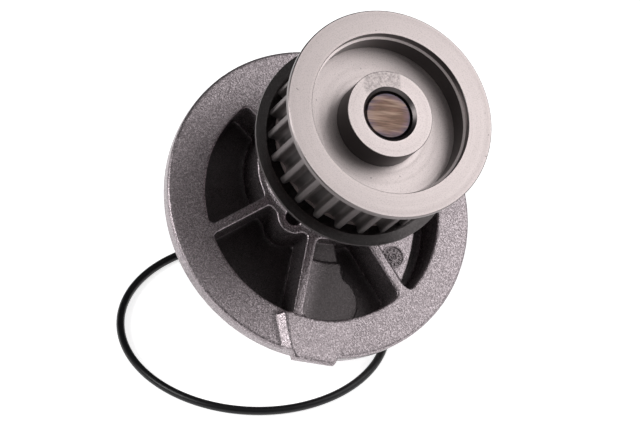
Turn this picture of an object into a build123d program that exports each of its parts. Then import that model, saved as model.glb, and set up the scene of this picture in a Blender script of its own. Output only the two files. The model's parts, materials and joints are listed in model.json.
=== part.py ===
"""Belt-driven engine coolant pump, leaning on a table with its loose housing O-ring.

Every piece is drawn in the pump's own axes: Z along the shaft towards the belt pulley, the
housing flange's rear seating face at Z = 0 and the flange centred on X = Y = 0. The last
section tips the pump over, as it lies on a table, and writes one STEP file per piece.
Lengths are millimetres and angles are degrees.
"""
import os
from math import atan2, cos, degrees, pi, radians, sin

from build123d import *

# ---- how the pump lies on the table ----
LEAN = 38.2                 # shaft axis from vertical
LOW_ANGLE = -23.3           # direction, about the flange, of the rim's lowest point
RIM_LIFT = 5.3              # height of the rim's lowest point above the table

# ---- housing flange and spigot ----
FLANGE_R = 52.0
FLANGE_T = 6.5
FLANGE_DRAFT = 0.3          # the rear edge of the rim is this much smaller
RIM_ROUND = 0.7
SPIGOT_R = 44.0
SPIGOT_DEPTH = 10.0
SPIGOT_CHAMFER = 1.2
GROOVE_Z = -4.6             # middle of the O-ring groove
GROOVE_WIDTH = 3.4
GROOVE_R = 41.9

# ---- eccentric hub that carries the bearing ----
HUB_X = -6.5
HUB_Y = 9.3
HUB_BASE_R = 23.5
NOSE_FOOT_R = 20.5
NOSE_TIP_R = 18.8
NOSE_TOP = 43.0
NOSE_FOOT_ROUND = 1.5

# ---- cored pockets between the ribs ----
POCKET_R = 39.3
POCKET_FLOOR = -7.5
RIB_WIDTH = 3.2
RIB_ANGLES = (-104.0, -57.5, -12.0)
FIRST_POCKET_END_Y = 4.2    # the first pocket stops here, beside the hub
FIRST_POCKET_ROUND = 1.6
SECOND_POCKET_ROUND = 1.1
THIRD_POCKET_ROUND = 2.2
PLATFORM_ANGLE = -33.3      # edge of the raised floor in the third pocket, about the hub
PLATFORM_TOP = 0.8
PLATFORM_RISE = 13.0        # slope of that floor up towards its rib
PLATFORM_UPHILL = 28.0      # direction across the slope
PLATFORM_STEP = 1.6         # the floor drops this much near the hub
PLATFORM_STEP_R = 30.0
PLATFORM_BOSS = (26.7, -17.6)
PLATFORM_BOSS_R = 8.3
SHALLOW_TOP = 5.4           # floor of the shallow bay beside the third rib
SHALLOW_END = 46.0
SHALLOW_ROUND = 2.0
SLOT_OUTER_R = 40.7
SLOT_INNER_R = 60.0         # the slot's inner edge is almost straight
SLOT_INNER_CENTRE = (-19.8, -17.9)
SLOT_START = 2.8
SLOT_END = 62.0
SLOT_ROUND = 1.5

# ---- weep hole ----
WEEP_X = -2.6
WEEP_Y = -10.8
WEEP_R = 2.7
WEEP_LOBE_R = 5.6
WEEP_FLOOR = 1.2
WEEP_DRAIN_R = 1.2

# ---- locating tab on the rim ----
TAB_CORNERS = ((16.6, -37.0), (29.7, -45.7), (40.7, -36.4), (37.9, -26.2), (34.4, -20.9))
TAB_BASE = 4.8
TAB_TOP = 9.5
TAB_SLOPE = 6.4             # its top falls this much towards the last corners
TAB_DRAFT = 3.0
TAB_INSET = 0.5

# ---- integral shaft bearing ----
SHAFT_R = 7.959
SHAFT_LOW = -24.5
SHAFT_TOP = 61.5
SHAFT_CHAMFER = 0.9
BEARING_R = 15.0
BEARING_LOW = 6.5
BEARING_LENGTH = 38.8
BEARING_BORE_R = 12.3
BALL_R = 2.79
BALL_PITCH_R = 10.2
RACE_R = 2.85
BALLS_PER_ROW = 9
REAR_ROW_Z = 14.5
FRONT_ROW_Z = 37.3
CAGE_INNER_R = 9.3
CAGE_OUTER_R = 11.2
CAGE_HALF_WIDTH = 3.9
CAGE_POCKET_R = 2.95
LIP_SEAL_R = 12.9
LIP_SEAL_T = 1.8
LIP_SEAL_INSET = 0.2
LIP_GAP = 0.04

# ---- belt pulley: 24 round teeth at 8 mm pitch ----
TEETH = 24
PITCH = 8.0
TIP_LOSS = 0.686            # belt cord above the tooth tips, per side
TOOTH_DEPTH = 3.45
TOOTH_ROOT_R = 2.55
TOOTH_TIP_ROUND = 0.7
TOOTH_TURN = -89.7          # direction of one tooth land about the hub
PULLEY_FACE = 63.8
PULLEY_WIDTH = 30.4
RING_R = 33.7
RING_T = 2.3
RECESS_R = 25.95
RECESS_STEP = 2.9
RECESS_WALL_R = 25.2
RECESS_FLOOR = 53.4
WEB_BACK = 47.4
REAR_CUP_R = 25.0
BOSS_R = 14.0
BOSS_TOP = 63.0
BORE_CHAMFER_R = 8.9
EDGE_BREAK = 0.15           # turned edges of the pulley face
SHEET_T = 1.1
SHEET_SEAT_R = 27.5
SHEET_SEAT_T = 1.1
SHEET_FLARE = 0.7

# ---- mechanical face seal ----
CUP_R = 18.25
CUP_TOP = -0.6
CUP_WALL = 0.8
CUP_LIP_R = 20.2
CUP_MOUTH_R = 10.4
VENT_R = 12.5
SPRING_R = 14.4
SPRING_WIRE_R = 0.6
SPRING_LOW = -7.3
SPRING_TOP = -2.1
SPRING_TURNS = 2.5
FACE_GAP = 0.05
FACE_Z = -11.9
SLEEVE_R = 8.6

# ---- impeller ----
IMPELLER_R = 31.5
IMPELLER_TOP = -12.5
IMPELLER_DISC_T = 2.0
IMPELLER_BACK = -25.4
VANES = 7
VANE_T = 2.2
VANE_SWEEP = 48.0
IMPELLER_HUB_R = 18.0
INSERT_R = 11.0
INSERT_LOW = -24.0
INSERT_TOP = -17.2

# ---- loose O-ring, lying flat on the table ----
O_RING_R = 43.6
O_RING_SECTION_R = 1.35
O_RING_X = -36.2            # its centre from the rim's lowest point
O_RING_Y = -23.9

HUB = Pos(HUB_X, HUB_Y, 0)


def turned(*profile):
    """Solid of revolution about Z, from the (radius, height) corners of its section."""
    section = make_face(Polyline(*profile, close=True))
    return revolve(Plane.XZ * section, Axis.Z)


def tube(outer, inner, low, high):
    return turned((inner, low), (outer, low), (outer, high), (inner, high))


def rod(radius, low, high):
    return Pos(0, 0, low) * Cylinder(radius, high - low, align=(Align.CENTER, Align.CENTER, Align.MIN))


def donut(ring_radius, section_radius, height):
    return Pos(0, 0, height) * Torus(ring_radius, section_radius)


def on_circle(radius, angle):
    return (radius * cos(radians(angle)), radius * sin(radians(angle)))


def sector(radius, start, end, steps=12):
    """Pie-shaped face from the origin, between two directions."""
    rays = [start + (end - start) * i / steps for i in range(steps + 1)]
    return make_face(Polyline((0, 0), *[on_circle(radius, a) for a in rays], close=True))


# ---- housing ----

def rib_bar(angle):
    """Strip of one rib, running outwards from the hub's centre."""
    bar = Rectangle(70, RIB_WIDTH, align=(Align.MIN, Align.CENTER))
    return HUB * Rot(0, 0, angle) * bar


def hub_outline():
    return HUB * Circle(HUB_BASE_R) + Pos(WEEP_X, WEEP_Y) * Circle(WEEP_LOBE_R)


def bay(start, end):
    """Plan of the space between two directions about the hub, inside the rim."""
    space = Circle(POCKET_R) & (HUB * sector(120, start, end))
    for angle in RIB_ANGLES:
        space -= rib_bar(angle)
    return space - hub_outline()


def rounded(plan, radius):
    return fillet(plan.vertices(), radius)


def cored(plan, floor):
    """Space cut down into the flange from its front face."""
    return Pos(0, 0, floor) * extrude(plan, amount=FLANGE_T + 1 - floor)


def first_pocket():
    corner = (Align.MIN, Align.MIN)
    beyond = Pos(-FLANGE_R, FIRST_POCKET_END_Y) * Rectangle(FLANGE_R, FLANGE_R, align=corner)
    plan = bay(-180, RIB_ANGLES[0]) - beyond
    return cored(rounded(plan, FIRST_POCKET_ROUND), POCKET_FLOOR)


def second_pocket():
    return cored(rounded(bay(RIB_ANGLES[0], RIB_ANGLES[1]), SECOND_POCKET_ROUND), POCKET_FLOOR)


def third_pocket():
    """Deep along the third rib, with a raised sloping floor beside the second."""
    deep = cored(rounded(bay(RIB_ANGLES[1], RIB_ANGLES[2]), THIRD_POCKET_ROUND), POCKET_FLOOR)
    plan = HUB * sector(2 * POCKET_R, RIB_ANGLES[1], PLATFORM_ANGLE)
    plan += Pos(*PLATFORM_BOSS) * Circle(PLATFORM_BOSS_R)
    platform = Pos(0, 0, POCKET_FLOOR - 1) * extrude(plan, amount=FLANGE_T - POCKET_FLOOR + 1)
    surface = Pos(*PLATFORM_BOSS, PLATFORM_TOP) * Rot(0, 0, PLATFORM_UPHILL) * Rot(0, PLATFORM_RISE, 0)
    above = surface * Box(90, 90, 30, align=(Align.CENTER, Align.CENTER, Align.MIN))
    near_hub = HUB * rod(PLATFORM_STEP_R, POCKET_FLOOR - 1, FLANGE_T + 1)
    platform -= above + (Pos(0, 0, -PLATFORM_STEP) * above & near_hub)
    return deep - platform


def shallow_bay():
    return cored(rounded(bay(RIB_ANGLES[2], SHALLOW_END), SHALLOW_ROUND), SHALLOW_TOP)


def crescent_slot():
    """Curved slot inside the rim, wider at its middle than at its first end."""
    plan = Circle(SLOT_OUTER_R) - Pos(*SLOT_INNER_CENTRE) * Circle(SLOT_INNER_R)
    plan = plan & sector(FLANGE_R, SLOT_START, SLOT_END)
    return cored(rounded(plan, SLOT_ROUND), POCKET_FLOOR)


def rim_tab():
    """Locating tab: a drafted pad on the rim that also stands out past it."""
    plan = make_face(Polyline(*TAB_CORNERS, close=True)) - Circle(POCKET_R + TAB_INSET)
    pad = Pos(0, 0, TAB_BASE) * extrude(plan, amount=2 * TAB_TOP - TAB_BASE, taper=TAB_DRAFT)
    left = TAB_CORNERS[0]
    right = TAB_CORNERS[3]
    run = degrees(atan2(right[1] - left[1], right[0] - left[0]))
    top = Pos(left[0], left[1], TAB_TOP) * Rot(0, 0, run) * Rot(0, TAB_SLOPE, 0)
    return pad - top * Box(140, 140, 20, align=(Align.CENTER, Align.CENTER, Align.MIN))


def pump_housing():
    back_r = FLANGE_R - FLANGE_DRAFT
    flange = turned(
        (0, 0), (back_r - RIM_ROUND, 0), (back_r, RIM_ROUND),
        (FLANGE_R, FLANGE_T - RIM_ROUND), (FLANGE_R - RIM_ROUND, FLANGE_T), (0, FLANGE_T),
    )
    spigot = turned(
        (0, -SPIGOT_DEPTH), (SPIGOT_R - SPIGOT_CHAMFER, -SPIGOT_DEPTH),
        (SPIGOT_R, SPIGOT_CHAMFER - SPIGOT_DEPTH), (SPIGOT_R, 0), (0, 0),
    )
    groove = tube(SPIGOT_R + 1, GROOVE_R, GROOVE_Z - GROOVE_WIDTH / 2, GROOVE_Z + GROOVE_WIDTH / 2)
    body = flange + (spigot - groove) + rim_tab()
    for space in (first_pocket(), second_pocket(), third_pocket(), shallow_bay(), crescent_slot()):
        body -= space
    nose = turned(
        (0, 0), (NOSE_FOOT_R + NOSE_FOOT_ROUND, 0), (NOSE_FOOT_R + NOSE_FOOT_ROUND, FLANGE_T),
        (NOSE_FOOT_R, FLANGE_T + NOSE_FOOT_ROUND), (NOSE_TIP_R, NOSE_TOP - 1), (NOSE_TIP_R - 1, NOSE_TOP),
        (0, NOSE_TOP),
    )
    body += HUB * nose
    seal_bore = rod(CUP_R, -SPIGOT_DEPTH - 1, CUP_TOP)
    vent = rod(VENT_R, CUP_TOP - 1, BEARING_LOW)
    bearing_bore = rod(BEARING_R, BEARING_LOW, NOSE_TOP + 1)
    body -= HUB * (seal_bore + vent + bearing_bore)
    body -= Pos(WEEP_X, WEEP_Y, 0) * rod(WEEP_R, WEEP_FLOOR, FLANGE_T + 8)
    towards_hub = degrees(atan2(HUB_Y - WEEP_Y, HUB_X - WEEP_X))
    drain = Rot(0, 90, 0) * Cylinder(WEEP_DRAIN_R, 10, align=(Align.CENTER, Align.CENTER, Align.MIN))
    body -= Pos(WEEP_X, WEEP_Y, WEEP_FLOOR + 1.7) * Rot(0, 0, towards_hub) * drain
    return body


# ---- pulley ----

def tooth_space(angle):
    """Plan of one round-bottomed gap between two teeth, opening towards the tips."""
    tip_r = TEETH * PITCH / (2 * pi) - TIP_LOSS
    root_centre = tip_r - TOOTH_DEPTH + TOOTH_ROOT_R
    mouth = Polyline(
        (root_centre - 0.4, -TOOTH_ROOT_R * 0.98), (tip_r + 0.6, -TOOTH_ROOT_R - 0.55),
        (tip_r + 0.6, TOOTH_ROOT_R + 0.55), (root_centre - 0.4, TOOTH_ROOT_R * 0.98), close=True,
    )
    return Rot(0, 0, angle) * (Pos(root_centre, 0) * Circle(TOOTH_ROOT_R) + make_face(mouth))


def drive_pulley():
    tip_r = TEETH * PITCH / (2 * pi) - TIP_LOSS
    back = PULLEY_FACE - PULLEY_WIDTH
    plan = Circle(tip_r)
    step = 360 / TEETH
    for i in range(TEETH):
        plan -= tooth_space(TOOTH_TURN + step * (i + 0.5))
    outer_corners = [v for v in plan.vertices() if v.X ** 2 + v.Y ** 2 > (tip_r - 0.05) ** 2]
    plan = fillet(outer_corners, TOOTH_TIP_ROUND)
    tooth_length = PULLEY_WIDTH - SHEET_SEAT_T - RING_T + 0.5
    toothed = Pos(0, 0, back + SHEET_SEAT_T) * extrude(plan, amount=tooth_length)
    ring_back = PULLEY_FACE - RING_T
    front_ring = turned(
        (0, ring_back), (RING_R - 0.4, ring_back), (RING_R, ring_back + 0.4),
        (RING_R, PULLEY_FACE - 0.3), (RING_R - 0.3, PULLEY_FACE), (0, PULLEY_FACE),
    )
    sheet_seat = rod(SHEET_SEAT_R, back, back + SHEET_SEAT_T)
    recess = turned(
        (0, RECESS_FLOOR), (RECESS_WALL_R, RECESS_FLOOR), (RECESS_WALL_R, PULLEY_FACE - RECESS_STEP),
        (RECESS_R, PULLEY_FACE - RECESS_STEP + 0.3), (RECESS_R, PULLEY_FACE - EDGE_BREAK),
        (RECESS_R + EDGE_BREAK, PULLEY_FACE + 0.001), (0, PULLEY_FACE + 0.001),
    )
    rear_cup = turned(
        (0, back - 1), (REAR_CUP_R, back - 1), (REAR_CUP_R - 0.6, WEB_BACK - 1.5),
        (REAR_CUP_R - 2.1, WEB_BACK), (0, WEB_BACK),
    )
    boss = turned(
        (0, WEB_BACK), (BOSS_R, WEB_BACK), (BOSS_R, BOSS_TOP - EDGE_BREAK),
        (BOSS_R - EDGE_BREAK, BOSS_TOP), (0, BOSS_TOP),
    )
    bore = turned(
        (0, WEB_BACK - 1), (SHAFT_R, WEB_BACK - 1), (SHAFT_R, BOSS_TOP - 1.2), (BORE_CHAMFER_R, BOSS_TOP),
        (BORE_CHAMFER_R, BOSS_TOP + 1), (0, BOSS_TOP + 1),
    )
    return HUB * (toothed + front_ring + sheet_seat - recess - rear_cup + boss - bore)


def pulley_rear_flange():
    """Pressed sheet ring that keeps the belt on, flared away from the teeth."""
    back = PULLEY_FACE - PULLEY_WIDTH
    knee = RING_R - 3.2
    return HUB * turned(
        (SHEET_SEAT_R, back), (knee, back), (RING_R - 0.1, back - SHEET_FLARE),
        (RING_R - 0.1, back - SHEET_FLARE + SHEET_T), (knee, back + SHEET_T),
        (SHEET_SEAT_R, back + SHEET_T),
    )


# ---- shaft bearing ----

def bearing_shaft():
    shaft = turned(
        (0, SHAFT_LOW), (SHAFT_R - SHAFT_CHAMFER, SHAFT_LOW), (SHAFT_R, SHAFT_LOW + SHAFT_CHAMFER),
        (SHAFT_R, SHAFT_TOP - SHAFT_CHAMFER), (SHAFT_R - SHAFT_CHAMFER, SHAFT_TOP), (0, SHAFT_TOP),
    )
    for height in (REAR_ROW_Z, FRONT_ROW_Z):
        shaft -= donut(BALL_PITCH_R, RACE_R, height)
    return HUB * shaft


def bearing_outer_ring():
    high = BEARING_LOW + BEARING_LENGTH
    ring = turned(
        (BEARING_BORE_R, BEARING_LOW), (BEARING_R - 0.6, BEARING_LOW), (BEARING_R, BEARING_LOW + 0.6),
        (BEARING_R, high - 0.6), (BEARING_R - 0.6, high), (BEARING_BORE_R, high),
    )
    for height in (REAR_ROW_Z, FRONT_ROW_Z):
        ring -= donut(BALL_PITCH_R, RACE_R, height)
    ring -= rod(LIP_SEAL_R, BEARING_LOW - 1, BEARING_LOW + LIP_SEAL_T + 0.3)
    ring -= rod(LIP_SEAL_R, high - LIP_SEAL_T - 0.3, high + 1)
    return HUB * ring


def ball_row(height):
    """One row of balls, as a group of separate solids."""
    balls = []
    for i in range(BALLS_PER_ROW):
        x, y = on_circle(BALL_PITCH_R, 360 * i / BALLS_PER_ROW)
        balls.append(HUB * Pos(x, y, height) * Sphere(BALL_R))
    return Compound(balls)


def ball_cage(height):
    cage = tube(CAGE_OUTER_R, CAGE_INNER_R, height - CAGE_HALF_WIDTH, height + CAGE_HALF_WIDTH)
    for i in range(BALLS_PER_ROW):
        window = Rot(0, 0, 360 * i / BALLS_PER_ROW) * Pos(BALL_PITCH_R, 0, height) * Rot(0, 90, 0)
        cage -= window * Cylinder(CAGE_POCKET_R, 4)
    return HUB * cage


def bearing_lip_seal(face, inward):
    """Rubber seal in a mouth of the bearing; inward (1 or -1) leads from its face to the balls."""
    lip = SHAFT_R + LIP_GAP
    profile = (
        (lip, 0.5), (lip + 1.2, 0), (LIP_SEAL_R, 0), (LIP_SEAL_R, LIP_SEAL_T),
        (LIP_SEAL_R - 1.3, LIP_SEAL_T), (LIP_SEAL_R - 1.6, 1.2), (lip + 1.4, 1.2), (lip, 1.3),
    )
    return HUB * turned(*[(radius, face + inward * depth) for radius, depth in profile])


def shaft_slinger():
    """Thin dished disc on the shaft that throws leaked coolant into the vent."""
    return HUB * turned(
        (SHAFT_R, 2.6), (SHAFT_R + 0.8, 2.6), (SHAFT_R + 0.8, 4.2), (11.4, 4.8), (11.4, 5.4),
        (SHAFT_R, 4.9),
    )


# ---- mechanical seal ----

def seal_cup():
    inner = CUP_R - CUP_WALL
    return HUB * turned(
        (inner, -SPIGOT_DEPTH - CUP_WALL), (CUP_LIP_R, -SPIGOT_DEPTH - CUP_WALL),
        (CUP_LIP_R, -SPIGOT_DEPTH),
        (CUP_R, -SPIGOT_DEPTH), (CUP_R, CUP_TOP), (CUP_MOUTH_R, CUP_TOP), (CUP_MOUTH_R, CUP_TOP - CUP_WALL),
        (inner, CUP_TOP - CUP_WALL),
    )


def seal_bellows():
    """Folded rubber sleeve between the cup's floor and the carbon ring."""
    top = CUP_TOP - CUP_WALL
    return HUB * turned(
        (10.6, top), (16.6, top), (16.6, top - 0.6), (12.6, top - 0.6), (12.6, -3.2), (13.2, -4.2),
        (12.2, -5.2), (13.2, -6.2), (12.2, -7.2), (12.4, -7.9), (10.9, -7.9), (11.0, -6.8), (11.9, -6.2),
        (10.9, -5.2), (11.9, -4.2), (11.0, -3.2), (10.6, -2.4),
    )


def seal_spring():
    pitch = (SPRING_TOP - SPRING_LOW - 2 * SPRING_WIRE_R) / SPRING_TURNS
    height = pitch * SPRING_TURNS
    path = Helix(pitch=pitch, height=height, radius=SPRING_R)
    wire = sweep(Plane(path @ 0, z_dir=path % 0) * Circle(SPRING_WIRE_R), path=path)
    return HUB * Pos(0, 0, SPRING_LOW + SPRING_WIRE_R) * wire


def seal_spring_collar():
    """Pressed ring that takes the spring's end and holds the carbon."""
    return HUB * turned(
        (10.9, -8.5), (14.0, -8.5), (14.0, -10.4), (14.6, -10.4), (14.6, -8.5), (15.4, -8.5), (15.4, -7.9),
        (10.9, -7.9),
    )


def carbon_face_ring():
    return HUB * turned(
        (10.3, -10.9), (10.8, FACE_Z + FACE_GAP), (12.6, FACE_Z + FACE_GAP), (12.6, -11.0), (14.0, -10.9),
        (14.0, -8.5), (10.3, -8.5),
    )


def mating_ring():
    return HUB * tube(14.5, 9.8, FACE_Z - 3.4, FACE_Z)


def mating_ring_boot():
    low = FACE_Z - 3.4
    return HUB * turned(
        (9.8, low - 1.0), (15.5, low - 1.0), (15.5, low + 2.4), (14.5, low + 2.4), (14.5, low), (9.8, low),
    )


def seal_shaft_sleeve():
    return HUB * tube(SLEEVE_R, SHAFT_R, -15.6, -2.4)


# ---- impeller ----

def vane(angle):
    """One backward-curved vane: a strip along an arc from the hub to the rim."""
    start = on_circle(IMPELLER_HUB_R - 4, angle)
    middle = on_circle(23.0, angle + VANE_SWEEP * 0.38)
    end = on_circle(IMPELLER_R, angle + VANE_SWEEP)
    arc = ThreePointArc(start, middle, end)
    strip = make_face(offset(arc, VANE_T / 2, side=Side.BOTH).edges())
    return extrude(strip & Circle(IMPELLER_R), amount=IMPELLER_TOP - IMPELLER_DISC_T - IMPELLER_BACK + 0.2)


def impeller():
    disc_low = IMPELLER_TOP - IMPELLER_DISC_T
    body = turned(
        (0, INSERT_LOW), (INSERT_R + 2, INSERT_LOW), (IMPELLER_HUB_R, disc_low - 1.5),
        (IMPELLER_HUB_R + 2, disc_low), (IMPELLER_R, disc_low), (IMPELLER_R, IMPELLER_TOP),
        (0, IMPELLER_TOP),
    )
    for i in range(VANES):
        body += Pos(0, 0, IMPELLER_BACK) * vane(360 * i / VANES)
    body -= rod(INSERT_R, INSERT_LOW - 3, INSERT_TOP)
    body -= rod(15.5, FACE_Z - 4.4, IMPELLER_TOP + 1)
    body -= rod(9.2, INSERT_TOP - 1, IMPELLER_TOP)
    return HUB * body


def impeller_hub_insert():
    return HUB * tube(INSERT_R, SHAFT_R, INSERT_LOW, INSERT_TOP)


# ---- the whole pump, tipped over on the table ----

def tipped(piece):
    return Rot(0, LEAN, 0) * Rot(0, 0, -LOW_ANGLE) * piece


def loose_o_ring():
    """Housing O-ring, out of its groove and flat on the table."""
    low_x = FLANGE_R * cos(radians(LEAN))
    table = -FLANGE_R * sin(radians(LEAN)) - RIM_LIFT
    return Pos(low_x + O_RING_X, O_RING_Y, table) * donut(O_RING_R, O_RING_SECTION_R, O_RING_SECTION_R)


def all_pieces():
    bearing_top = BEARING_LOW + BEARING_LENGTH
    pump = {
        "pump_housing": pump_housing(),
        "drive_pulley": drive_pulley(),
        "pulley_rear_flange": pulley_rear_flange(),
        "bearing_shaft": bearing_shaft(),
        "bearing_outer_ring": bearing_outer_ring(),
        "front_bearing_balls": ball_row(FRONT_ROW_Z),
        "front_ball_cage": ball_cage(FRONT_ROW_Z),
        "rear_bearing_balls": ball_row(REAR_ROW_Z),
        "rear_ball_cage": ball_cage(REAR_ROW_Z),
        "front_bearing_seal": bearing_lip_seal(bearing_top - LIP_SEAL_INSET, -1),
        "rear_bearing_seal": bearing_lip_seal(BEARING_LOW + LIP_SEAL_INSET, 1),
        "shaft_slinger": shaft_slinger(),
        "seal_cup": seal_cup(),
        "seal_bellows": seal_bellows(),
        "seal_spring": seal_spring(),
        "seal_spring_collar": seal_spring_collar(),
        "carbon_face_ring": carbon_face_ring(),
        "mating_ring": mating_ring(),
        "mating_ring_boot": mating_ring_boot(),
        "seal_shaft_sleeve": seal_shaft_sleeve(),
        "impeller": impeller(),
        "impeller_hub_insert": impeller_hub_insert(),
    }
    pieces = {name: tipped(piece) for name, piece in pump.items()}
    pieces["housing_o_ring"] = loose_o_ring()
    return pieces


def footprint_origin(pieces):
    """Middle of the base of the box around everything: the model's origin."""
    boxes = [piece.bounding_box() for piece in pieces.values()]
    middle_x = (min(b.min.X for b in boxes) + max(b.max.X for b in boxes)) / 2
    middle_y = (min(b.min.Y for b in boxes) + max(b.max.Y for b in boxes)) / 2
    return (middle_x, middle_y, min(b.min.Z for b in boxes))


PIECES = all_pieces()
ORIGIN = footprint_origin(PIECES)
os.makedirs("parts", exist_ok=True)
for name, piece in PIECES.items():
    export_step(Pos(-ORIGIN[0], -ORIGIN[1], -ORIGIN[2]) * piece, f"parts/{name}.step")
print("origin in tipped pump axes", [round(value, 4) for value in ORIGIN])
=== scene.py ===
"""Looks of the coolant pump: finishes, cast surface, floor, light and camera, in metres."""
import json
from math import atan2, cos, pi, radians, sin

import bmesh
import bpy
from mathutils import Matrix, Vector


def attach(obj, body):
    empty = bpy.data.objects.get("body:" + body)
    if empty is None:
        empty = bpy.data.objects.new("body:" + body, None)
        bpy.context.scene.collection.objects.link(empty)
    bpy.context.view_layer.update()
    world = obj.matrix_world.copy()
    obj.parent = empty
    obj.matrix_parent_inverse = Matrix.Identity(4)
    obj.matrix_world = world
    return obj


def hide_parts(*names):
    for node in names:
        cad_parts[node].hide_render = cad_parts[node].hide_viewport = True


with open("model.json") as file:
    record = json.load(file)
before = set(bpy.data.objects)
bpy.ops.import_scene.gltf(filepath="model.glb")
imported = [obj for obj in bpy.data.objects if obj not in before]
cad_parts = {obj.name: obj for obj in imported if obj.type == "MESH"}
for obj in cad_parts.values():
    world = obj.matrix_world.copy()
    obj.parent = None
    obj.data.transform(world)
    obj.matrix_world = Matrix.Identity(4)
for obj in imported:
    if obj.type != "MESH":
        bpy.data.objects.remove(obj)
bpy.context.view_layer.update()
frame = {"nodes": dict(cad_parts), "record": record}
RECORD = frame["record"]
NODES = frame["nodes"]
MM = 0.001

# ---- the pump's own axes: Z along the shaft, origin at the middle of the flange's seat ----
JOINTS = {joint["name"]: joint for joint in RECORD["behaviour"]["joints"]}
MOUNTS = {mount["name"]: mount for mount in RECORD["mounts"]}
SHAFT = Vector(JOINTS["rotor_spin"]["axis"]).normalized()
HUB_POINT = Vector(JOINTS["rotor_spin"]["pos_m"])
SPIGOT = MOUNTS["spigot"]
SPIGOT_R = SPIGOT["dims"]["r_mm"] * MM
FLANGE_POINT = Vector(SPIGOT["pos_m"]) + SHAFT * SPIGOT["dims"]["length_mm"] * MM / 2
LEAN = atan2(SHAFT.x, SHAFT.z)
HUB_TURN = radians(124.95)      # direction of the hub from the flange's middle, in the pump's axes
OFFSET = Matrix.Rotation(-LEAN, 3, "Y") @ (HUB_POINT - FLANGE_POINT)
TURN = atan2(OFFSET.y, OFFSET.x) - HUB_TURN
PUMP = Matrix.Translation(FLANGE_POINT) @ (Matrix.Rotation(LEAN, 4, "Y") @ Matrix.Rotation(TURN, 4, "Z"))
HUB = Matrix.Translation(HUB_POINT) @ (Matrix.Rotation(LEAN, 4, "Y") @ Matrix.Rotation(TURN, 4, "Z"))


# ---- places on the pump, in its own axes; a pair is where a finish or the painted shade starts and where it is full ----
POCKET_SHADE_TOP = 5.3 * MM                        # below this the pockets' floors get painted shade, dark and dull
POCKET_SHADE_LOW = 2.0 * MM
POCKET_SHADE_R = (41.7 * MM, 41.2 * MM)
POCKET_BACK = (-9.0 * MM, -8.5 * MM)               # behind this there are no pockets
HUB_SHADE_R = (32.0 * MM, 29.0 * MM)               # about the hub: the painted shade on the pocket floors is darkest here
HUB_SHADE_DEPTH = (POCKET_SHADE_TOP - 0.3 * MM, POCKET_SHADE_TOP - 0.8 * MM)
MACHINED_R = (SPIGOT_R - 3.2 * MM, SPIGOT_R - 2.8 * MM)
MACHINED_TOP = (0.1 * MM, -0.1 * MM)               # the spigot and the seat are machined below this

CLOCK_PLACE = (29.0 * MM, 6.2 * MM, 5.4 * MM)      # die mark on the shallow bay
CLOCK_R = 3.7 * MM
CLOCK_WALL = 0.35 * MM
CLOCK_SUNK = 0.3 * MM
# CLOCK_TOP and CLOCK_EDGE bound the darkening about the die mark, partly dirt and partly painted shade
CLOCK_TOP = (5.75 * MM, 5.6 * MM)
CLOCK_EDGE = (CLOCK_R + 0.2 * MM, CLOCK_R)
CLOCK_INNER_R = 1.5 * MM
CLOCK_INNER_BORE_R = 1.1 * MM
CLOCK_TICKS = 12
CLOCK_TICK_R = 2.5 * MM
CLOCK_TICK = (0.9 * MM, 0.5 * MM)
CLOCK_STUDS = 5
CLOCK_STUD_R = 0.55 * MM
CLOCK_STUD = (0.45 * MM, 0.35 * MM)
MARK_HEIGHT = 0.45 * MM
TICK_HEIGHT = 1.7 * MARK_HEIGHT                    # half of it is sunk in the casting

ARROW_PLACE = (-30.0 * MM, -19.0 * MM, -7.5 * MM)  # raised arrowhead on the first pocket's floor
ARROW_LEG = (5.0 * MM, 0.6 * MM, 2 * MARK_HEIGHT)
ARROW_LEG_MIDDLE = (2.4 * MM, 0, 0)
ARROW_OPENING = 0.42                               # radians, from its middle line to each leg

SHOULDER_START = (16.9 * MM, -37.2 * MM, 6.4 * MM)  # foot of the rim tab's long edge
SHOULDER_TURN = radians(-33.6)
SHOULDER_LENGTH = 13.0 * MM
SHOULDER_WIDTH = 2.8 * MM
SHOULDER_HEIGHT = 2.8 * MM
SHOULDER_SPLAY = 0.7                               # its foot is shorter by this times its width
SHOULDER_SUNK = 0.5 * MM

SCUFF_PLACE = (-9.4 * MM, 5.8 * MM, 63.0 * MM)     # rubbed patch on the pulley's boss, from the hub
SCUFF_EDGE = (9.2 * MM, 7.4 * MM)
SCUFF_WANDER = 5.0 * MM                            # how far noise shifts the patch's edge
RECESS_MOUTH_R = (27.1 * MM, 26.6 * MM)            # the pulley's sides are darker within this
RUB_DIRECTION = radians(45)                        # of the straight rub marks on the shaft's end


# ---- small tools for materials ----

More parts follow.
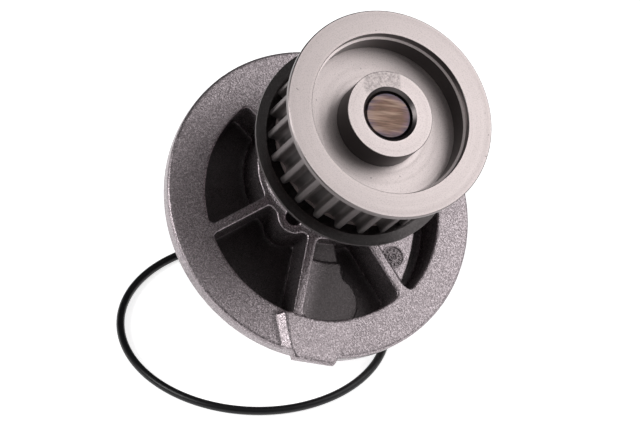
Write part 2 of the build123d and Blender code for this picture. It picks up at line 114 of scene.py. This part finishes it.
class Shader:
    """A material with one principled shader, and short calls to add nodes. Lengths are in metres."""

    def __init__(self, name):
        self.material = bpy.data.materials.new(name)
        self.material.use_nodes = True
        self.tree = self.material.node_tree
        self.surface = self.tree.nodes["Principled BSDF"]

    def node(self, kind, inputs=None, **settings):
        made = self.tree.nodes.new(kind)
        for key, value in settings.items():
            setattr(made, key, value)
        for key, value in (inputs or {}).items():
            if isinstance(value, bpy.types.NodeSocket):
                self.tree.links.new(value, made.inputs[key])
            else:
                made.inputs[key].default_value = value
        return made

    def link(self, output, name):
        self.tree.links.new(output, self.surface.inputs[name])

    def place(self, space):
        """Texture position in the axes of a matrix."""
        coords = self.node("ShaderNodeTexCoord").outputs["Object"]
        inverse = space.inverted()
        mapping = self.node("ShaderNodeMapping", {"Vector": coords})
        mapping.inputs["Location"].default_value = inverse.to_translation()
        mapping.inputs["Rotation"].default_value = inverse.to_euler("XYZ")
        return mapping.outputs["Vector"]

    def noise(self, vector, scale, detail=2.0, roughness=0.5):
        inputs = {"Vector": vector, "Scale": scale, "Detail": detail, "Roughness": roughness}
        return self.node("ShaderNodeTexNoise", inputs).outputs["Fac"]

    def ramp(self, factor, *stops):
        made = self.node("ShaderNodeValToRGB", {"Fac": factor})
        elements = made.color_ramp.elements
        while len(elements) < len(stops):
            elements.new(0.5)
        for element, (position, colour) in zip(elements, stops):
            element.position = position
            grey = isinstance(colour, (int, float))
            element.color = (colour, colour, colour, 1) if grey else (*colour, 1)
        return made.outputs["Color"]

    def math(self, operation, a, b=0.0):
        return self.node("ShaderNodeMath", {0: a, 1: b}, operation=operation).outputs[0]

    def product(self, first, *others):
        for other in others:
            first = self.math("MULTIPLY", first, other)
        return first

    def mix(self, factor, a, b, blend="MIX"):
        made = self.node("ShaderNodeMix", data_type="RGBA", blend_type=blend)
        for index, value in ((0, factor), (6, a), (7, b)):
            if isinstance(value, bpy.types.NodeSocket):
                self.tree.links.new(value, made.inputs[index])
            elif isinstance(value, tuple):
                made.inputs[index].default_value = (*value, 1)
            else:
                made.inputs[index].default_value = value
        return made.outputs[2]

    def vector_math(self, operation, a, *others):
        inputs = dict(enumerate((a, *others)))
        return self.node("ShaderNodeVectorMath", inputs, operation=operation).outputs

    def distance(self, vector, point):
        return self.vector_math("DISTANCE", vector, point)["Value"]

    def radius(self, vector):
        """Distance from the Z axis."""
        flat = self.vector_math("MULTIPLY", vector, (1, 1, 0))[0]
        return self.vector_math("LENGTH", flat)["Value"]

    def along_shaft(self):
        """1 on a face turned towards the pulley's end of the shaft, 0 on a side, -1 behind."""
        normal = self.node("ShaderNodeTexCoord").outputs["Normal"]
        return self.vector_math("DOT_PRODUCT", normal, SHAFT)["Value"]

    def window(self, value, start, full):
        """0 at start, 1 at full and beyond it, with a smooth step between."""
        inputs = {"Value": value, "From Min": start, "From Max": full}
        return self.node("ShaderNodeMapRange", inputs, interpolation_type="SMOOTHSTEP").outputs["Result"]

    def bump(self, height, strength, distance, under=None):
        inputs = {"Height": height, "Strength": strength, "Distance": distance}
        if under is not None:
            inputs["Normal"] = under
        return self.node("ShaderNodeBump", inputs).outputs["Normal"]

    def set(self, **values):
        for key, value in values.items():
            self.surface.inputs[key.replace("_", " ")].default_value = value


CAST_GRAIN = ((0.32, (0.15, 0.13, 0.137)), (0.5, (0.30, 0.26, 0.273)), (0.70, (0.68, 0.60, 0.63)))
CAST_WORN = (0.28, 0.242, 0.254)
POCKET_PAINTED_SHADE_COLOUR = (0.035, 0.031, 0.031)
POCKET_SHADE = 0.92            # how far the pockets' floors go to that painted shade colour
# darkening about the die mark: partly dirt, partly painted shade in its gaps
CLOCK_DIRT_AND_PAINTED_SHADE = 0.5
LEVEL_FACE = (0.45, 0.8)       # cosines to the shaft between which a face counts as a floor
MACHINED_COLOURS = (0.45, 0.43, 0.435), (0.66, 0.64, 0.645)
GRAIN_BUMP = 0.9
MACHINED_BUMP_LOSS = 0.8       # the machined faces have this much less of the grain's bump


def painted_pocket_shade(s, where, height):
    """Mask of painted shade: 1 on the cored pockets' floors, 0 elsewhere."""
    depth = s.window(height, POCKET_SHADE_TOP, POCKET_SHADE_LOW)
    by_hub = s.window(s.radius(s.place(HUB)), *HUB_SHADE_R)
    below = s.window(height, *HUB_SHADE_DEPTH)
    depth = s.math("MAXIMUM", depth, s.product(by_hub, below))
    inside = s.window(s.radius(where), *POCKET_SHADE_R)
    above_back = s.window(height, *POCKET_BACK)
    level = s.window(s.along_shaft(), *LEVEL_FACE)
    return s.product(depth, inside, s.product(above_back, level))


def cast_aluminium():
    """Shot-blasted casting: purplish grey, fine bright grain, painted shade on the pockets' floors, dirt
    and painted shade about the die mark, and a machined spigot.
    """
    s = Shader("cast_aluminium")
    where = s.place(PUMP)
    height = s.node("ShaderNodeSeparateXYZ", {"Vector": where}).outputs["Z"]
    grain = s.noise(where, 2100, 3, 0.65)
    patch = s.noise(where, 70, 3, 0.5)
    fleck = s.noise(where, 3200, 1, 0.5)
    worn = s.mix(s.ramp(patch, (0.35, 0.0), (0.75, 0.3)), s.ramp(grain, *CAST_GRAIN), CAST_WORN)
    # near_clock and clock mask the low faces about the die mark for its dirt and painted shade
    near_clock = s.window(s.distance(where, CLOCK_PLACE), *CLOCK_EDGE)
    clock = s.product(near_clock, s.window(height, *CLOCK_TOP))
    # painted shade on the pockets' floors
    pockets = s.product(painted_pocket_shade(s, where, height), POCKET_SHADE)
    # cast colour with the pockets' painted shade and the die mark's dirt and painted shade
    shaded = s.mix(s.math("MAXIMUM", pockets, s.product(clock, CLOCK_DIRT_AND_PAINTED_SHADE)), worn, POCKET_PAINTED_SHADE_COLOUR)
    machined = s.product(s.window(s.radius(where), *MACHINED_R), s.window(height, *MACHINED_TOP))
    marks = s.noise(s.node("ShaderNodeCombineXYZ", {"Z": height}).outputs[0], 3000, 2, 0.6)
    s.link(s.mix(machined, shaded, s.mix(marks, *MACHINED_COLOURS)), "Base Color")
    s.link(s.ramp(fleck, (0.35, 0.38), (0.7, 0.22)), "Roughness")
    strength = s.math("SUBTRACT", GRAIN_BUMP, s.product(machined, MACHINED_BUMP_LOSS))
    s.link(s.bump(grain, strength, 0.16 * MM, s.bump(patch, 0.2, 0.5 * MM)), "Normal")
    s.set(Metallic=0.9)
    return s.material


WORN_FACE = 0.84               # brightness of a worn face beside a clean one
# painted shade: the faces outside the recess mouth are darker than the same steel on the recess floor
OUTER_FACE_PAINTED_SHADE = (0.87, 0.87, 0.87)
RECESS_SIDE_PAINTED_SHADE = 0.45            # brightness of the oxide within the recess beside that on the teeth; the extra darkness is painted shade
SIDE_FACE = (0.9, 0.8)         # cosines to the shaft between which a face turns into a side
SIDE_ROUGHNESS = (0.38, 0.38, 0.38)


def machined_steel(name, face, side, rough):
    """Steel with faint turning marks on its faces and a dark oxide on its sides, painted shade on the
    sides within the recess and on the faces outside it.
    """
    s = Shader(name)
    where = s.place(HUB)
    radius = s.radius(where)
    ring_place = s.node("ShaderNodeCombineXYZ", {"X": radius}).outputs[0]
    rings = s.noise(ring_place, 5200, 2, 0.6)
    wide = s.noise(ring_place, 700, 2, 0.5)
    cloud = s.noise(where, 90, 3, 0.55)
    grit = s.noise(where, 2600, 2, 0.6)
    speck = s.noise(where, 520, 1, 0.4)
    worn_face = tuple(WORN_FACE * c for c in face)
    base = s.mix(s.ramp(rings, (0.3, 0.0), (0.7, 1.0)), worn_face, face)
    base = s.mix(s.ramp(cloud, (0.4, 0.0), (0.75, 0.35)), base, worn_face)
    base = s.mix(s.ramp(grit, (0.5, 0.0), (0.75, 0.4)), base, side)
    base = s.mix(s.ramp(speck, (0.78, 0.0), (0.80, 0.7)), base, side)
    wander = s.product(s.noise(where, 260, 4, 0.7), SCUFF_WANDER)
    reach = s.math("ADD", s.distance(where, SCUFF_PLACE), wander)
    scuff = s.window(reach, *SCUFF_EDGE)
    rubbed = s.mix(s.ramp(s.noise(where, 1500, 3, 0.7), (0.35, 0.0), (0.65, 1.0)), worn_face, side)
    base = s.mix(s.product(scuff, 0.8), base, rubbed)
    on_side = s.window(s.math("ABSOLUTE", s.along_shaft()), *SIDE_FACE)
    within = s.window(radius, *RECESS_MOUTH_R)
    # the sides' own oxide, with painted shade on those within the recess
    oxide = s.mix(within, side, tuple(RECESS_SIDE_PAINTED_SHADE * c for c in side))
    # the faces outside the recess with painted shade
    ring = s.mix(1.0, base, OUTER_FACE_PAINTED_SHADE, "MULTIPLY")
    s.link(s.mix(on_side, s.mix(within, ring, base), oxide), "Base Color")
    sheen = s.ramp(wide, (0.3, rough - 0.05), (0.7, rough + 0.07))
    s.link(s.mix(on_side, sheen, SIDE_ROUGHNESS), "Roughness")
    s.link(s.bump(rings, 0.25, 0.02 * MM, s.bump(grit, 0.2, 0.06 * MM)), "Normal")
    s.set(Metallic=1.0)
    return s.material


SIMPLE_GRAIN = 900             # noise cells to a metre
SIMPLE_SHADE = 0.7             # brightness of the darker patches


def simple_finish(name, colour, metallic, rough):
    """Even finish for the inner pieces, with soft patches and a fine grain."""
    s = Shader(name)
    where = s.place(HUB)
    fine = s.noise(where, SIMPLE_GRAIN, 3, 0.6)
    broad = s.noise(where, SIMPLE_GRAIN / 8, 2, 0.5)
    darker = tuple(SIMPLE_SHADE * c for c in colour)
    s.link(s.mix(s.ramp(broad, (0.35, 0.0), (0.7, 1.0)), darker, colour), "Base Color")
    s.link(s.ramp(fine, (0.3, rough - 0.05), (0.7, rough + 0.08)), "Roughness")
    s.link(s.bump(fine, 0.3, 0.04 * MM), "Normal")
    s.set(Metallic=metallic)
    return s.material


HEAT_REACH = 9.5               # millimetres from the middle over which the tints below run out
HEAT_SMEAR = 2.2               # millimetres that noise shifts them
HEAT_TINTS = (
    (0.1, (0.20, 0.125, 0.098)), (0.6, (0.165, 0.098, 0.078)), (0.76, (0.16, 0.105, 0.12)),
    (0.88, (0.09, 0.085, 0.13)), (0.96, (0.22, 0.20, 0.195)),
)
RUB_STRETCH = (0.1, 1, 1)      # the rub marks are ten times as long as they are wide
RUB_DARK = (0.09, 0.065, 0.05)
RUB_BRIGHT = (0.40, 0.29, 0.23)


def shaft_end():
    """Ground shaft whose end is heat-tinted bronze with straight rub marks, blue towards its edge."""
    s = Shader("shaft_end")
    where = s.place(HUB)
    inputs = {"Vector": where, "Angle": -RUB_DIRECTION}
    turned = s.node("ShaderNodeVectorRotate", inputs, rotation_type="Z_AXIS").outputs[0]
    along = s.vector_math("MULTIPLY", turned, RUB_STRETCH)[0]
    rub = s.noise(along, 2600, 3, 0.7)
    broad_rub = s.noise(along, 700, 2, 0.5)
    smear = s.product(s.noise(where, 500, 3, 0.6), HEAT_SMEAR)
    tint = s.math("ADD", s.product(s.radius(where), 1 / MM), smear)
    colours = s.ramp(s.math("DIVIDE", tint, HEAT_REACH), *HEAT_TINTS)
    streaked = s.mix(s.ramp(rub, (0.35, 0.0), (0.65, 0.75)), colours, RUB_DARK)
    streaked = s.mix(s.ramp(broad_rub, (0.5, 0.0), (0.7, 0.6)), streaked, RUB_BRIGHT)
    s.link(streaked, "Base Color")
    s.link(s.bump(rub, 0.5, 0.03 * MM), "Normal")
    s.set(Metallic=1.0, Roughness=0.36)
    return s.material


RUBBER_CLEAN = (0.004, 0.004, 0.005)
RUBBER_DUSTY = (0.02, 0.019, 0.019)


def o_ring_rubber():
    """Black rubber with a soft sheen and a little dust."""
    s = Shader("o_ring_rubber")
    where = s.place(Matrix.Identity(4))
    fine = s.noise(where, 2500, 2, 0.6)
    dust = s.noise(where, 350, 3, 0.6)
    s.link(s.mix(s.ramp(dust, (0.55, 0.0), (0.8, 0.25)), RUBBER_CLEAN, RUBBER_DUSTY), "Base Color")
    s.link(s.ramp(fine, (0.3, 0.30), (0.7, 0.42)), "Roughness")
    s.link(s.bump(fine, 0.15, 0.04 * MM), "Normal")
    s.set(Specular_IOR_Level=0.32)
    return s.material


# name: colour of the faces, colour of the sides, roughness of the faces
MACHINED_FINISHES = {
    "pulley_steel": ((0.68, 0.60, 0.592), (0.22, 0.196, 0.195), 0.42),
    "flange_sheet": ((0.055, 0.05, 0.05), (0.2, 0.185, 0.185), 0.18),
}

# name: colour, metallic, roughness
SIMPLE_FINISHES = {
    "bearing_steel": ((0.62, 0.61, 0.60), 1.0, 0.22),
    "seal_rubber": ((0.02, 0.02, 0.02), 0.0, 0.55),
    "spring_steel": ((0.58, 0.57, 0.56), 1.0, 0.3),
    "seal_brass": ((0.64, 0.45, 0.19), 1.0, 0.3),
    "cage_polymer": ((0.72, 0.64, 0.46), 0.0, 0.45),
    "carbon": ((0.045, 0.045, 0.05), 0.0, 0.4),
    "ceramic": ((0.78, 0.76, 0.70), 0.0, 0.2),
    "impeller_polymer": ((0.05, 0.05, 0.055), 0.0, 0.5),
}


def finishes():
    """The material of each slot in the record."""
    made = {name: machined_steel(name, *look) for name, look in MACHINED_FINISHES.items()}
    made.update({name: simple_finish(name, *look) for name, look in SIMPLE_FINISHES.items()})
    made.update(cast_aluminium=cast_aluminium(), shaft_steel=shaft_end(), o_ring_rubber=o_ring_rubber())
    return made


def dress_nodes(made):
    """Gives each CAD node the finish of its slot in the record."""
    for entry in RECORD["subparts"]:
        mesh = NODES[entry["node"]].data
        mesh.materials.clear()
        mesh.materials.append(made[entry["material_slot"]])


# ---- meshes ----

def add_piece(name, mesh, body, material):
    """Puts a mesh in the scene as a piece that moves with a body."""
    piece = bpy.data.objects.new(name, mesh)
    bpy.context.scene.collection.objects.link(piece)
    mesh.materials.clear()
    mesh.materials.append(material)
    mesh.shade_smooth()
    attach(piece, body)
    return piece


def solid_block(build, size, matrix):
    """Box about the matrix's origin."""
    bmesh.ops.create_cube(build, size=1.0, matrix=matrix @ Matrix.Diagonal((*size, 1)))


def ring_wall(build, outer, inner, low, high, matrix, steps=64):
    """Square-edged ring about the matrix's Z axis."""
    loops = []
    for i in range(steps):
        angle = 2 * pi * i / steps
        corners = ((inner, low), (outer, low), (outer, high), (inner, high))
        points = [matrix @ Vector((r * cos(angle), r * sin(angle), z)) for r, z in corners]
        loops.append([build.verts.new(point) for point in points])
    for here, there in zip(loops, loops[1:] + loops[:1]):
        for k in range(4):
            build.faces.new((here[k], there[k], there[(k + 1) % 4], here[(k + 1) % 4]))


def evaluated_copy(piece):
    """Mesh of a piece with its modifiers applied."""
    depsgraph = bpy.context.evaluated_depsgraph_get()
    return bpy.data.meshes.new_from_object(piece.evaluated_get(depsgraph))


def arrowhead(build):
    """Raised arrowhead such as a die leaves."""
    arrow = Matrix.Translation(ARROW_PLACE)
    for side in (-1, 1):
        turned = arrow @ Matrix.Rotation(side * ARROW_OPENING, 4, "Z")
        solid_block(build, ARROW_LEG, turned @ Matrix.Translation(ARROW_LEG_MIDDLE))


def tab_shoulder(build):
    """Sloping shoulder that runs down from the rim tab's edge to the rim, a prism sunk into both."""
    edge = Matrix.Translation(SHOULDER_START) @ Matrix.Rotation(SHOULDER_TURN, 4, "Z")
    section = (
        (SHOULDER_SUNK, -SHOULDER_SUNK), (-SHOULDER_WIDTH, -SHOULDER_SUNK), (-SHOULDER_WIDTH, 0),
        (0, SHOULDER_HEIGHT), (SHOULDER_SUNK, SHOULDER_HEIGHT),
    )
    near = [build.verts.new(edge @ Vector((0, y, z))) for y, z in section]
    lengths = [SHOULDER_LENGTH + y * SHOULDER_SPLAY for y, z in section]
    far = [build.verts.new(edge @ Vector((x, y, z))) for x, (y, z) in zip(lengths, section)]
    faces = [build.faces.new(near), build.faces.new(far[::-1])]
    for k in range(len(section)):
        after = (k + 1) % len(section)
        faces.append(build.faces.new((near[k], far[k], far[after], near[after])))
    bmesh.ops.recalc_face_normals(build, faces=faces)


def die_clock(material):
    """Plain ticked ring left by a die insert, with no figures in it."""
    build = bmesh.new()
    clock = PUMP @ Matrix.Translation(CLOCK_PLACE)
    ring_wall(build, CLOCK_R, CLOCK_R - CLOCK_WALL, -CLOCK_SUNK, MARK_HEIGHT, clock)
    ring_wall(build, CLOCK_INNER_R, CLOCK_INNER_BORE_R, -CLOCK_SUNK, MARK_HEIGHT, clock, 32)
    blocks = ((CLOCK_TICKS, CLOCK_TICK_R, CLOCK_TICK), (CLOCK_STUDS, CLOCK_STUD_R, CLOCK_STUD))
    for count, radius, size in blocks:
        for i in range(count):
            turned = clock @ Matrix.Rotation(2 * pi * i / count, 4, "Z")
            solid_block(build, (*size, TICK_HEIGHT), turned @ Matrix.Translation((radius, 0, 0)))
    mesh = bpy.data.meshes.new("die_clock")
    build.to_mesh(mesh)
    build.free()
    return add_piece("die_clock", mesh, "housing", material)


CAST_VOXEL = 0.38 * MM         # size of the cells that the casting is rebuilt from
CAST_SOFTENING = 16            # smoothing passes, which round its edges like a casting's


def cast_housing(material):
    """The housing again, rebuilt from small cells and smoothed, so all its edges are a little round."""
    build = bmesh.new()
    build.from_mesh(NODES["pump_housing"].data)
    bmesh.ops.transform(build, matrix=PUMP.inverted(), verts=build.verts)
    arrowhead(build)
    tab_shoulder(build)
    mesh = bpy.data.meshes.new("cast_housing_draft")
    build.to_mesh(mesh)
    build.free()
    draft = bpy.data.objects.new("cast_housing_draft", mesh)
    bpy.context.scene.collection.objects.link(draft)
    remesh = draft.modifiers.new("cells", "REMESH")
    remesh.mode = "VOXEL"
    remesh.voxel_size = CAST_VOXEL
    remesh.adaptivity = 0.0
    smooth = draft.modifiers.new("soft", "SMOOTH")
    smooth.factor = 0.5
    smooth.iterations = CAST_SOFTENING
    final = evaluated_copy(draft)
    bpy.data.objects.remove(draft)
    final.transform(PUMP)
    housing = add_piece("cast_housing", final, "housing", material)
    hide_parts("pump_housing")
    return housing


# ---- stage ----

FLOOR_GLOW = 0.75               # lifts the floor to the pure white of a light table
FLOOR_SIZE = 4.0
FLOOR_COLOUR = (0.9, 0.9, 0.905, 1)
WHITE = (1, 1, 1, 1)
SKY_CENTRE = (0.43, 0.43, 0.80)  # direction of the brightest part of the dome
SKY_DARK = 0.06
SKY_BRIGHT = 0.5
SKY_EDGE = (0.45, 0.95)         # cosines from that direction where it starts to brighten and is full
LIGHT_TARGET = (0, 0, 0.05)
SOFT_BOX_PLACE = (0.211, 0.320, 0.318)
SOFT_BOX_SIZE = (0.38, 0.38)
SOFT_BOX_POWER = 0.8
LEFT_PLACE = (-0.15, -0.85, 0.60)
LEFT_SIZE = (0.6, 0.35)
LEFT_POWER = 6.0


def studio_floor():
    """Plain white table top."""
    mesh = bpy.data.meshes.new("floor")
    build = bmesh.new()
    bmesh.ops.create_grid(build, x_segments=8, y_segments=8, size=FLOOR_SIZE)
    build.to_mesh(mesh)
    build.free()
    floor = bpy.data.objects.new("floor", mesh)
    bpy.context.scene.collection.objects.link(floor)
    s = Shader("floor")
    s.set(Base_Color=FLOOR_COLOUR, Roughness=0.6, Specular_IOR_Level=0.2)
    s.set(Emission_Color=WHITE, Emission_Strength=FLOOR_GLOW)
    mesh.materials.append(s.material)


def area_light(name, at, size, power):
    """White rectangle of light turned to the pump."""
    data = bpy.data.lights.new(name, "AREA")
    data.shape = "RECTANGLE"
    data.size, data.size_y = size
    data.energy = power
    light = bpy.data.objects.new(name, data)
    light.location = at
    light.rotation_euler = (Vector(LIGHT_TARGET) - Vector(at)).to_track_quat("-Z", "Y").to_euler()
    light.visible_camera = False
    bpy.context.scene.collection.objects.link(light)


def studio_world():
    """Grey dome, brightest around one direction."""
    world = bpy.data.worlds.new("studio")
    world.use_nodes = True
    tree = world.node_tree
    direction = tree.nodes.new("ShaderNodeTexCoord").outputs["Generated"]
    facing = tree.nodes.new("ShaderNodeVectorMath")
    facing.operation = "DOT_PRODUCT"
    facing.inputs[1].default_value = Vector(SKY_CENTRE).normalized()
    spread = tree.nodes.new("ShaderNodeMapRange")
    spread.interpolation_type = "SMOOTHSTEP"
    limits = zip(("From Min", "From Max", "To Min", "To Max"), (*SKY_EDGE, SKY_DARK, SKY_BRIGHT))
    for socket, value in limits:
        spread.inputs[socket].default_value = value
    tree.links.new(direction, facing.inputs[0])
    tree.links.new(facing.outputs["Value"], spread.inputs["Value"])
    background = tree.nodes["Background"]
    background.inputs["Color"].default_value = WHITE
    tree.links.new(spread.outputs["Result"], background.inputs["Strength"])
    bpy.context.scene.world = world


def lights():
    area_light("soft box", SOFT_BOX_PLACE, SOFT_BOX_SIZE, SOFT_BOX_POWER)
    area_light("left", LEFT_PLACE, LEFT_SIZE, LEFT_POWER)
    studio_world()
    bpy.context.scene.view_settings.view_transform = "Standard"


CAMERA_AZIMUTH = -32.45        # degrees, where the camera stands around the pump
CAMERA_ELEVATION = 37.07
CAMERA_ROLL = 3.28
CAMERA_DISTANCE = 0.96895
CAMERA_TARGET = (0.0011, 0.00684, 0.040)
CAMERA_LENS = 168.75           # millimetres, as is the sensor's width
CAMERA_SENSOR = 36.0
CAMERA_CLIP = 0.01


def camera():
    """Camera at the viewing angle, looking at its target and rolled a little."""
    azimuth, elevation = radians(CAMERA_AZIMUTH), radians(CAMERA_ELEVATION)
    back = Vector((cos(elevation) * cos(azimuth), cos(elevation) * sin(azimuth), sin(elevation)))
    level = Vector((0, 0, 1)).cross(back).normalized()
    right = Matrix.Rotation(radians(CAMERA_ROLL), 3, back) @ level
    up = back.cross(right)
    data = bpy.data.cameras.new("camera")
    data.lens = CAMERA_LENS
    data.sensor_width = CAMERA_SENSOR
    data.clip_start = CAMERA_CLIP
    made = bpy.data.objects.new("camera", data)
    turn = Matrix((right, up, back)).transposed().to_4x4()
    made.matrix_world = Matrix.Translation(Vector(CAMERA_TARGET) + back * CAMERA_DISTANCE) @ turn
    bpy.context.scene.collection.objects.link(made)
    bpy.context.scene.camera = made


camera()
studio_floor()
lights()
FINISHES = finishes()
dress_nodes(FINISHES)
cast_housing(FINISHES["cast_aluminium"])
die_clock(FINISHES["cast_aluminium"])
